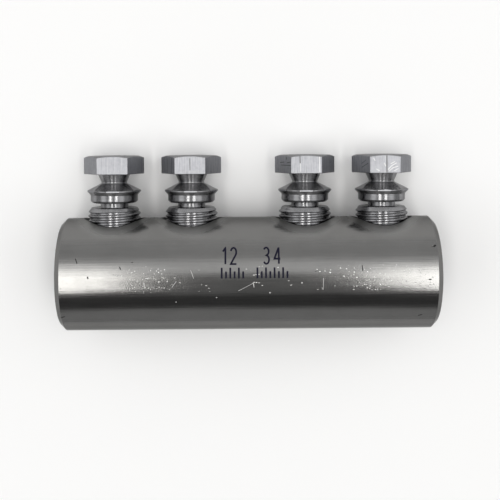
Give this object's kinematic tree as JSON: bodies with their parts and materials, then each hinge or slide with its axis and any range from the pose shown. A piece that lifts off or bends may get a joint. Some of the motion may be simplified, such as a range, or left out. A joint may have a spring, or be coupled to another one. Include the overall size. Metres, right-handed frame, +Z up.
{
  "type": "mechanical screw connector",
  "caption": "Round in-line cable connector: a bored sleeve with a row of hexagon-headed shear bolts that clamp a conductor in each end.",
  "frame": {"origin": "bottom centre of the bounding box, on the plane that the connector lies on", "axes": "+X along the sleeve and out of the right-hand bore; the bolts stand towards +Y and point 15.0 degrees below the horizontal, because the connector rests on its sleeve and its bolt heads; +Z up"},
  "size_m": [0.114, 0.0544, 0.0345],
  "materials": {
    "tinned_sleeve": "tin-plated turned aluminium, semi-gloss grey with fine turning marks",
    "bolt_alloy": "bare aluminium alloy, turned bright on the shank and flange, drawn matt on the hexagon's flats"
  },
  "bodies": {
    "sleeve": {"sleeve": "tinned_sleeve"},
    "bolt_1": {"shear_bolt_1": "bolt_alloy"},
    "bolt_2": {"shear_bolt_2": "bolt_alloy"},
    "bolt_3": {"shear_bolt_3": "bolt_alloy"},
    "bolt_4": {"shear_bolt_4": "bolt_alloy"}
  },
  "joints": [
    {"name": "bolt_1_drive", "type": "slide", "parent": "sleeve", "child": "bolt_1", "axis": [0, -0.9659, 0.2589], "range_m": [-0.0045, 0.0075]},
    {"name": "bolt_2_drive", "type": "slide", "parent": "sleeve", "child": "bolt_2", "axis": [0, -0.9659, 0.2589], "range_m": [-0.0045, 0.0075]},
    {"name": "bolt_3_drive", "type": "slide", "parent": "sleeve", "child": "bolt_3", "axis": [0, -0.9659, 0.2589], "range_m": [-0.0045, 0.0075]},
    {"name": "bolt_4_drive", "type": "slide", "parent": "sleeve", "child": "bolt_4", "axis": [0, -0.9659, 0.2589], "range_m": [-0.0045, 0.0075]}
  ]
}
